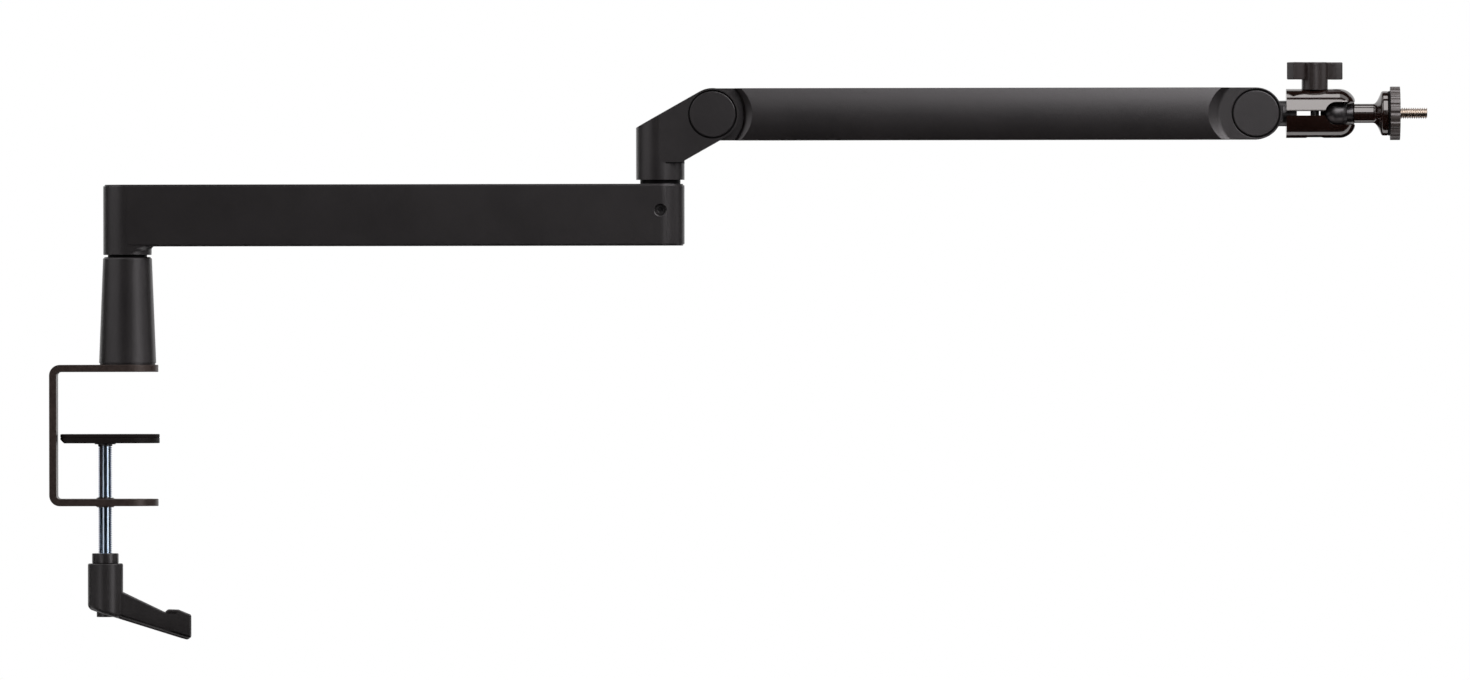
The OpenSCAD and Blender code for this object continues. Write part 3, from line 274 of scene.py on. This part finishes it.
def threaded(radius, pitch, z0, z1, depth=0.6134, crest=0.125, root_flat=0.25, steps=32):
    """A screw thread along Z with real helical flanks, closed at both ends.

    depth, crest and root_flat are shares of the pitch.
    """
    bm = bmesh.new()
    root = radius - depth * pitch
    turns = ceil((z1 - z0) / pitch) + 2
    flank = (1 - crest - root_flat) / 2
    line = [(root, 0), (root, root_flat), (radius, root_flat + flank), (radius, 1 - flank), (root, 1)]
    verts = [bm.verts.new((r, 0, z0 + (h - 1.5) * pitch)) for r, h in line]
    edges = [bm.edges.new(pair) for pair in zip(verts, verts[1:])]
    bmesh.ops.spin(bm, geom=verts + edges, axis=(0, 0, 1), cent=(0, 0, 0), dvec=(0, 0, pitch / steps),
                   angle=2 * pi * turns, steps=steps * turns)
    bmesh.ops.remove_doubles(bm, verts=bm.verts, dist=0.005)
    for z, side in ((z0, -1), (z1, 1)):
        cut(bm, (0, 0, z), (0, 0, side), drop=True)
        rim = [e for e in bm.edges if e.is_boundary and all(abs(v.co.z - z) < 0.001 for v in e.verts)]
        bmesh.ops.contextual_create(bm, geom=rim)
    bmesh.ops.recalc_face_normals(bm, faces=bm.faces)
    return bm


def join(*parts):
    """Several meshes as one."""
    bm = parts[0]
    for part in parts[1:]:
        mesh = bpy.data.meshes.new("part")
        part.to_mesh(mesh)
        bm.from_mesh(mesh)
        part.free()
        bpy.data.meshes.remove(mesh)
    return bm


# ---- pieces that keep the CAD shape and get their real edges: radius in mm and segments
EDGES = {
    "clamp_bracket": (0.6, 3), "post_sleeve": (1.2, 5), "post_washer": (0.2, 2), "post_screws": (0.2, 2),
    "jaw_plate": (0.4, 2), "jaw_pad": (0.4, 2), "jaw_bush": (0.2, 2), "lever_insert": (0.5, 2),
    "lever_handle": (0.9, 4), "lever_retainer": (0.5, 3), "lower_arm_channel": (0.35, 2),
    "lower_arm_cover": (0.3, 2), "elbow_set_screw": (0.2, 2), "elbow_washer": (0.2, 2), "elbow_knuckle": (0.35, 2),
    "upper_arm_beam": (0.3, 2), "upper_arm_cover": (0.3, 2), "head_tongue": (0.3, 2), "ball_jaw_upper": (0.25, 2),
    "ball_jaw_lower": (0.25, 2), "lock_nut": (0.3, 2), "wheel_washer": (0.15, 2), "lock_wheel": (0.35, 2),
}
# edges that are rounder than the rest of their piece: radius, then the box in mm that holds them
ROUNDER = {
    "jaw_plate": (1.8, (-39, -18, -41.2), (-37, 18, -39.8)),
    "ball_jaw_upper": (0.8, (681, -15, 140), (702, -9.5, 152.8)),
    "ball_jaw_lower": (0.8, (681, -15, 139.6), (702, -9.5, 152)),
    "lower_arm_channel": (0.8, (299, -14.2, 86), (309, -13.2, 97)),
}
# castings whose outer edges are rounded, from this far out along Y, and whose inner corners stay sharp
CASTINGS = {"lever_handle": 0, "lower_arm_channel": 0, "upper_arm_beam": 10}
# lever: a point on its lower edge, and the slope of that edge
LEVER_LOW, LEVER_DIP = Vector((-4.2, 0, -140.9)), radians(17.4)
# the groove above the lip at that edge: it begins at GROOVE_X, where the hub ends
LIP_H, GROOVE_H, GROOVE_DEEP, GROOVE_X = 1.5, 1.3, 1.8, -4.0
# the hub, the rounding of its lower rim, and a height above that rim
LEVER_HUB_R, HUB_ROUND, HUB_SIDE_LOW = 10.0, 2.6, -130
# shallow finger dent under the tab: two corners of it, and its depth
DENT_LOW, DENT_HIGH, DENT_DEEP = (22.9, 0, -137.7), (27.6, 0, -136.7), 0.9


def round_hub(bm):
    """Rounds the lower rim of the lever's hub."""
    round_edges(bm, HUB_ROUND, 5, where=lambda e: all(
        v.co.z < HUB_SIDE_LOW and v.co.x < GROOVE_X
        and hypot(v.co.x - SCREW_X, v.co.y) > LEVER_HUB_R - 0.1 for v in e.verts), clamp=False)


def cut_grip(bm):
    """Cuts the lever's groove and finger dent, on both sides."""
    across = Vector((sin(LEVER_DIP), 0, cos(LEVER_DIP)))
    middle = LIP_H + GROOVE_H / 2
    for rise in (LIP_H + GROOVE_H, LIP_H, middle):
        cut(bm, LEVER_LOW + across * rise, across)
    for v in bm.verts:
        on_line = abs((v.co - LEVER_LOW).dot(across) - middle) < 0.01
        if on_line and v.co.x > GROOVE_X and abs(v.co.y) > 3:
            v.co.y *= 1 - GROOVE_DEEP / abs(v.co.y)
    for corner in (DENT_LOW, DENT_HIGH):
        for normal in ((1, 0, 0), (0, 0, 1)):
            cut(bm, corner, normal)
    bm.normal_update()
    dent = [f for f in bm.faces if abs(f.normal.y) > 0.9
            and all(DENT_LOW[i] < f.calc_center_median()[i] < DENT_HIGH[i] for i in (0, 2))]
    bmesh.ops.inset_region(bm, faces=dent, thickness=0.1, depth=-DENT_DEEP, use_even_offset=True)


for node, (radius, segments) in EDGES.items():
    bm = cad_copy(node)
    if node in ROUNDER:
        rounder, low, high = ROUNDER[node]
        round_edges(bm, rounder, 4, where=lambda e: all(
            low[i] < v.co[i] < high[i] for v in e.verts for i in range(3)))
    if node == "lever_handle":
        round_hub(bm)
    if node in CASTINGS:
        round_edges(bm, radius, segments, where=lambda e: e.is_convex and all(
            abs(v.co.y) >= CASTINGS[node] for v in e.verts), clamp=False)
    else:
        round_edges(bm, radius, segments)
    if node == "lever_handle":
        cut_grip(bm)
    finish_piece("fine_" + node, bm, node)

# ---- lower arm and elbow: blend between the boss over the post and the arm's underside, wide beside the arm and
# narrow in front, so its section changes as it turns
BOSS_R, ARM_LOW, ARM_HALF = 13.8, 71.5, 13.8
BLEND_FRONT, BLEND_SIDE, BLEND_IN = 1.8, 2.9, 0.6
BLEND_TURNS, BLEND_STEPS = 64, 16
bm = bmesh.new()
rows = []
for i in range(BLEND_TURNS + 1):
    swing = radians(-90 + 180 * i / BLEND_TURNS)
    blend = BLEND_FRONT + BLEND_SIDE * abs(sin(swing)) ** 3
    hollow = [pi / 2 * k / BLEND_STEPS for k in range(BLEND_STEPS + 1)]
    line = [(BOSS_R - 1, ARM_LOW + BLEND_IN), (BOSS_R - 1, ARM_LOW - blend)]
    line += [(BOSS_R + blend * (1 - cos(a)), ARM_LOW - blend * (1 - sin(a))) for a in hollow]
    line += [(BOSS_R + blend, ARM_LOW + BLEND_IN)]
    rows.append([bm.verts.new((r * cos(swing), r * sin(swing), z)) for r, z in line])
for one, two in zip(rows, rows[1:]):
    for k in range(len(one)):
        n = (k + 1) % len(one)
        bm.faces.new((one[k], one[n], two[n], two[k]))
bm.faces.new(rows[0])
bm.faces.new(rows[-1][::-1])
for side in (-1, 1):
    bmesh.ops.holes_fill(bm, edges=cut(bm, (0, side * ARM_HALF, 0), (0, side, 0), drop=True), sides=0)
bmesh.ops.recalc_face_normals(bm, faces=bm.faces)
finish_piece("boss_blend", bm, body="lower_arm", slot="black_aluminium")

# painted shade: a thin black ring round the elbow's neck that stands in for the shadow under the lower edge of its
# flats where they stand clear
NECK_IN, NECK_OUT, EAVE_Z, EAVE_SHADE_H, EAVE_SHADE_ARC = 12.8, 13.88, 118.9, 0.6, 154
eave_shade = turned([(NECK_IN, EAVE_Z), (NECK_IN, EAVE_Z - EAVE_SHADE_H), (NECK_OUT, EAVE_Z - EAVE_SHADE_H), (NECK_OUT, EAVE_Z)],
              steps=48, closed=True, arc=EAVE_SHADE_ARC)
finish_piece("elbow_eave_shade", move(eave_shade, x=ELBOW_X), body=BODY["elbow_knuckle"], slot="black_washer")

# ---- threads: the M8 clamp screw, worn a little blunt, with its bare tip in the jaw's bush
SCREW_R, SCREW_PITCH, SCREW_LOW, SCREW_TOP = 4, 1.25, -119.6, -42.2
BARE_R, BARE_TOP = 2.5, -37.6
screw = threaded(SCREW_R, SCREW_PITCH, SCREW_LOW, SCREW_TOP, depth=0.45, crest=0.36, root_flat=0.28)
tip = turned([(0, SCREW_TOP - 0.1), (BARE_R, SCREW_TOP - 0.1), (BARE_R, BARE_TOP - 0.3), (BARE_R - 0.3, BARE_TOP),
              (0, BARE_TOP)])
finish_piece("fine_clamp_screw", move(join(screw, tip), x=SCREW_X), "clamp_screw", sharp=50)
# and the 1/4 inch stud, 20 threads to the inch
STUD_R, STUD_PITCH, STUD_LOW, STUD_END = 3.175, 1.27, 712, 740.9
stud = threaded(STUD_R, STUD_PITCH, STUD_LOW, STUD_END)
finish_piece("fine_thread_stud", move(stud, z=TILT_Z, turn=90), "thread_stud", sharp=50)

# coil spring of the clamping lever: its lower end stays on the retainer while the lever presses on the upper one;
# here it is a plain coil of fixed length
WIRE_R, COILS, COIL_STEPS, PULL = 0.55, 4, 32, 3.5
low, high = (Vector(c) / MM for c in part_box("lever_spring"))
bm = bmesh.new()
bmesh.ops.create_circle(bm, segments=12, radius=WIRE_R, matrix=Matrix.Translation(
    ((high.x - low.x) / 2 - WIRE_R, 0, low.z + WIRE_R)) @ Matrix.Rotation(pi / 2, 4, "X"))
rise = (high.z - low.z - 2 * WIRE_R) / (COILS * COIL_STEPS)
bmesh.ops.spin(bm, geom=bm.verts[:] + bm.edges[:], axis=(0, 0, 1), cent=(0, 0, 0), dvec=(0, 0, rise),
               angle=2 * pi * COILS, steps=COILS * COIL_STEPS)
bmesh.ops.holes_fill(bm, edges=bm.edges, sides=0)
bmesh.ops.recalc_face_normals(bm, faces=bm.faces)
spring = finish_piece("fine_lever_spring", move(bm, x=SCREW_X), "lever_spring", sharp=60)
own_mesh(spring)

# ---- pivot caps: discs with a rounded rim, a little smaller than their seats, and a black ring down in the gap round them that paints that gap's shade
CAP_R, CAP_T, RIM = 13.05, 1.5, 0.45
GAP_SHADE_R, GAP_SHADE_LOW, GAP_SHADE_TOP = 13.9, 1.45, 0.85
TILT_HALF, HEAD_HALF = 13.8, 11
for node, x, half, side in (("elbow_cap_front", TILT_X, TILT_HALF, -1), ("elbow_cap_rear", TILT_X, TILT_HALF, 1),
                            ("head_cap_front", HEAD_X, HEAD_HALF, -1), ("head_cap_rear", HEAD_X, HEAD_HALF, 1)):
    rim = [(CAP_R - RIM + RIM * cos(a), half - RIM + RIM * sin(a)) for a in (pi / 2 * k / 6 for k in range(7))]
    disc = turned([(0, half - CAP_T), (CAP_R, half - CAP_T)] + rim + [(0, half)], steps=128)
    finish_piece("fine_" + node, move(disc, x=x, z=TILT_Z, turn=-90 * side, axis="X"), node)
    # painted shade: a black ring that darkens the gap round the cap
    gap_shade = turned([(CAP_R - 0.1, half - GAP_SHADE_LOW), (GAP_SHADE_R, half - GAP_SHADE_LOW), (GAP_SHADE_R, half - GAP_SHADE_TOP),
                   (CAP_R - 0.1, half - GAP_SHADE_TOP)], steps=128, closed=True)
    finish_piece(node + "_gap_shade", move(gap_shade, x=x, z=TILT_Z, turn=-90 * side, axis="X"), body=BODY[node],
                 slot="black_washer")

# ---- wing knob: a round hub over the lock screw, and two blades that thicken in a hollow curve towards square tips
HUB_R, KNOB_LOW, KNOB_TOP, KNOB_TURN = 7.5, 159.6, 175.4, 27
BORE_R, BORE_TOP = 2.6, 168.9
BLADE_LOW, BLADE_IN, BLADE_U, BLADE_STEPS = 165.5, 4.5, 6.8, 12
TIP_U, WAIST, TIP_W = 15.85, 2.1, 4.4
knob = turned([(0, BORE_TOP), (BORE_R, BORE_TOP), (BORE_R, KNOB_LOW), (HUB_R - 0.3, KNOB_LOW),
               (HUB_R, KNOB_LOW + 0.3), (HUB_R, KNOB_TOP - 0.6), (HUB_R - 0.18, KNOB_TOP - 0.18),
               (HUB_R - 0.6, KNOB_TOP), (0, KNOB_TOP)])
side = [(BLADE_IN, WAIST)]
for k in range(BLADE_STEPS + 1):
    t = k / BLADE_STEPS
    side.append((BLADE_U + (TIP_U - BLADE_U) * t, WAIST + (TIP_W - WAIST) * t ** 2))
blades = []
for turn in (0, 180):
    bm = bmesh.new()
    face = bm.faces.new([bm.verts.new((u, -w, BLADE_LOW)) for u, w in side] +
                        [bm.verts.new((u, w, BLADE_LOW)) for u, w in side[::-1]])
    raised = bmesh.ops.extrude_face_region(bm, geom=[face])["geom"]
    bmesh.ops.translate(bm, vec=(0, 0, KNOB_TOP - BLADE_LOW),
                        verts=[v for v in raised if isinstance(v, bmesh.types.BMVert)])
    bmesh.ops.recalc_face_normals(bm, faces=bm.faces)
    round_edges(bm, 0.6, 3)
    blades.append(move(bm, turn=turn, axis="Z"))
finish_piece("fine_lock_knob", move(move(join(knob, *blades), turn=KNOB_TURN, axis="Z"), x=LOCK_X), "lock_knob")

# ---- ball with its neck, which ends just short of the stem's shank
BALL_R, NECK_R, NECK_TOP = 8.0, 4.9, 9.95
start = asin(NECK_R / BALL_R)
sphere = [(BALL_R * sin(a), BALL_R * cos(a)) for a in (pi - (pi - start) * k / 48 for k in range(49))]
sphere[0] = (0, -BALL_R)
ball = turned(sphere + [(NECK_R, NECK_TOP - 0.3), (NECK_R - 0.3, NECK_TOP), (0, NECK_TOP)], steps=128)
finish_piece("fine_ball", move(ball, x=BALL_X, z=TILT_Z, turn=90), "ball", sharp=40)
# stem: straight shank that flares into the flange
STEM_R, STEM_LOW, STEM_TOP = 5.45, 698.9, 718.7
flare = [(STEM_R, 710.0), (5.6, 710.9), (6.1, 711.5), (6.9, 712.2), (8.1, 712.9), (9.6, 713.6), (11.2, 714.3),
         (12.2, 714.8), (12.6, 715.3), (12.7, 716.0), (12.7, 718.2), (12.2, STEM_TOP)]
stem = turned([(0, STEM_LOW), (STEM_R - 0.35, STEM_LOW), (STEM_R, STEM_LOW + 0.4)] + flare + [(0, STEM_TOP)],
              steps=128)
finish_piece("fine_stem", move(stem, z=TILT_Z, turn=90), "stem", sharp=40)


# ---- studio
def stage_piece(name, bm, material):
    """Puts a mesh in metres in the studio, as something that isn't part of the object."""
    mesh = bpy.data.meshes.new(name)
    bm.to_mesh(mesh)
    bm.free()
    mesh.materials.append(material)
    obj = bpy.data.objects.new(name, mesh)
    scene.collection.objects.link(obj)
    return obj


def seen_directly(tree):
    """1 where the camera sees a place straight, in a mirror or through glass, and 0 where it only gives light."""
    rays = add(tree, "LightPath").outputs
    seen = rays["Is Camera Ray"]
    for kind in ("Is Glossy Ray", "Is Transmission Ray"):
        seen = add(tree, "Math", {"operation": "ADD", "use_clamp": True}, _0=seen, _1=rays[kind]).outputs[0]
    return seen


# pale floor that keeps the object's shadow, a little lifted where it is seen, and clear from below
FLOOR_LIFT, FLOOR_X, FLOOR_Z, FLOOR_R = 0.35, 0.35, -0.3, 3
white, tree = new_tree("white studio floor")
glow = add(tree, "Math", {"operation": "MULTIPLY"}, _0=seen_directly(tree), _1=FLOOR_LIFT).outputs[0]
matte = add(tree, "BsdfPrincipled", Base_Color=paint("#ececec"), Roughness=0.9, Emission_Color=(1, 1, 1, 1),
            Emission_Strength=glow, Specular_IOR_Level=0.1)
clear = add(tree, "BsdfTransparent")
under = add(tree, "NewGeometry").outputs["Backfacing"]
two_sided = add(tree, "MixShader", _0=under, _1=matte.outputs[0], _2=clear.outputs[0])
add(tree, "OutputMaterial", Surface=two_sided.outputs[0])
bm = bmesh.new()
bmesh.ops.create_circle(bm, cap_ends=True, segments=96, radius=FLOOR_R,
                        matrix=Matrix.Translation((FLOOR_X, 0, FLOOR_Z)))
stage_piece("floor", bm, white)

# black flags round the front, which only reflections see: a front sheet, two walls, and a floor and roof with a gap
# over and under the object that lets the white in
LEFT, RIGHT, LOW, TOP, FRONT = -2.4, 3.2, -0.29, 2.6, -2.4


def level_flag(z, near, far):
    """A level sheet at height z, from near to far along Y."""
    return [(LEFT, near, z), (RIGHT, near, z), (RIGHT, far, z), (LEFT, far, z)]


def side_flag(x, far):
    """An upright sheet at x, from the front to far along Y."""
    return [(x, FRONT, LOW), (x, far, LOW), (x, far, TOP), (x, FRONT, TOP)]


black, tree = new_tree("black studio flag")
add(tree, "OutputMaterial", Surface=add(tree, "BsdfDiffuse", Color=(0.0, 0.0, 0.0, 1)).outputs[0])
bm = bmesh.new()
for sheet in (
        [(LEFT, FRONT, LOW), (RIGHT, FRONT, LOW), (RIGHT, FRONT, TOP), (LEFT, FRONT, TOP)],
        level_flag(LOW, FRONT, 0.06), level_flag(LOW, 0.27, 2.4), level_flag(TOP, FRONT, -0.42),
        level_flag(TOP, 0.5, 2.2), side_flag(LEFT, 2.4), side_flag(RIGHT, 2.6)):
    bm.faces.new([bm.verts.new(corner) for corner in sheet])
bmesh.ops.remove_doubles(bm, verts=bm.verts, dist=0.001)
flags = stage_piece("front_flags", bm, black)
for kind in ("camera", "diffuse", "transmission", "volume_scatter", "shadow"):
    setattr(flags, "visible_" + kind, False)


def softbox(name, at, aim, width, height, level, spread=180):
    """A rectangular lamp with a level, where 1 would make its surface as white as the background.

    spread is the full angle in degrees that its grid lets through; a narrow one puts more of its light on its axis.
    """
    lamp = bpy.data.lights.new(name, "AREA")
    lamp.shape = "RECTANGLE"
    lamp.size, lamp.size_y = width, height
    lamp.spread = radians(spread)
    lamp.energy = pi * width * height * level
    obj = bpy.data.objects.new(name, lamp)
    obj.location = at
    obj.rotation_euler = (Vector(aim) - Vector(at)).to_track_quat("-Z", "Y").to_euler()
    obj.visible_camera = False
    scene.collection.objects.link(obj)


# lamps: name, place, aim, width, height, level, and the spread of those with a grid
for lamp in (
        # from the upper right: the light on the upper arm, the flats and the ball head
        ("key_softbox", (0.92, -0.8, 0.88), (0.92, 0, 0.25), 0.78, 1.05, 3.1),
        ("key_low", (0.9, -1.15, 0.37), (0.6, 0, 0.15), 0.26, 0.2, 3.0),
        ("key_spill", (0.22, -0.95, 0.8), (0.3, 0, 0.15), 0.62, 1.0, 0.4),
        ("front_fill", (0.75, -1.6, 0.16), (0.35, 0, 0.1), 0.9, 0.4, 0.12),
        ("right_softbox", (1.2, -0.4, 0.64), (0.66, 0, 0.15), 0.5, 0.5, 3.6),
        ("head_right_card", (0.97, -0.02, 0.17), (0.66, 0, 0.16), 0.26, 0.26, 0.5),
        # a narrow strip overhead: the bright bands along the ball head's jaws
        ("overhead_softbox", (0.69, 0.03, 1.6), (0.69, 0.03, 0.15), 0.16, 0.57, 2.0),
        # low down and from the left: the soft edges of the post, the screw, the lever's hub and the arms' left ends
        ("low_right_card", (0.45, -0.38, -0.12), (-0.013, 0, -0.09), 0.16, 0.3, 0.38, 70),
        ("left_wall", (-1.5, -0.6, 0.95), (0.2, 0, 0.2), 2.0, 1.6, 1.0),
        ("top_left_softbox", (-0.45, -0.7, 1.15), (0.0, 0, 0.0), 0.8, 0.6, 1.0),
        ("low_left_card", (-0.32, -0.48, -0.2), (-0.013, 0, -0.08), 0.2, 0.3, 0.2, 70)):
    softbox(*lamp)

# white surroundings: full white where seen, half as bright where they light the object
WORLD_LIGHT = 0.5
world = bpy.data.worlds.new("studio")
world.use_nodes = True
tree = world.node_tree
tree.nodes.clear()
level = add(tree, "MapRange", Value=seen_directly(tree), To_Min=WORLD_LIGHT, To_Max=1.0).outputs[0]
add(tree, "OutputWorld", Surface=add(tree, "Background", Color=(1, 1, 1, 1), Strength=level).outputs[0])
scene.world = world
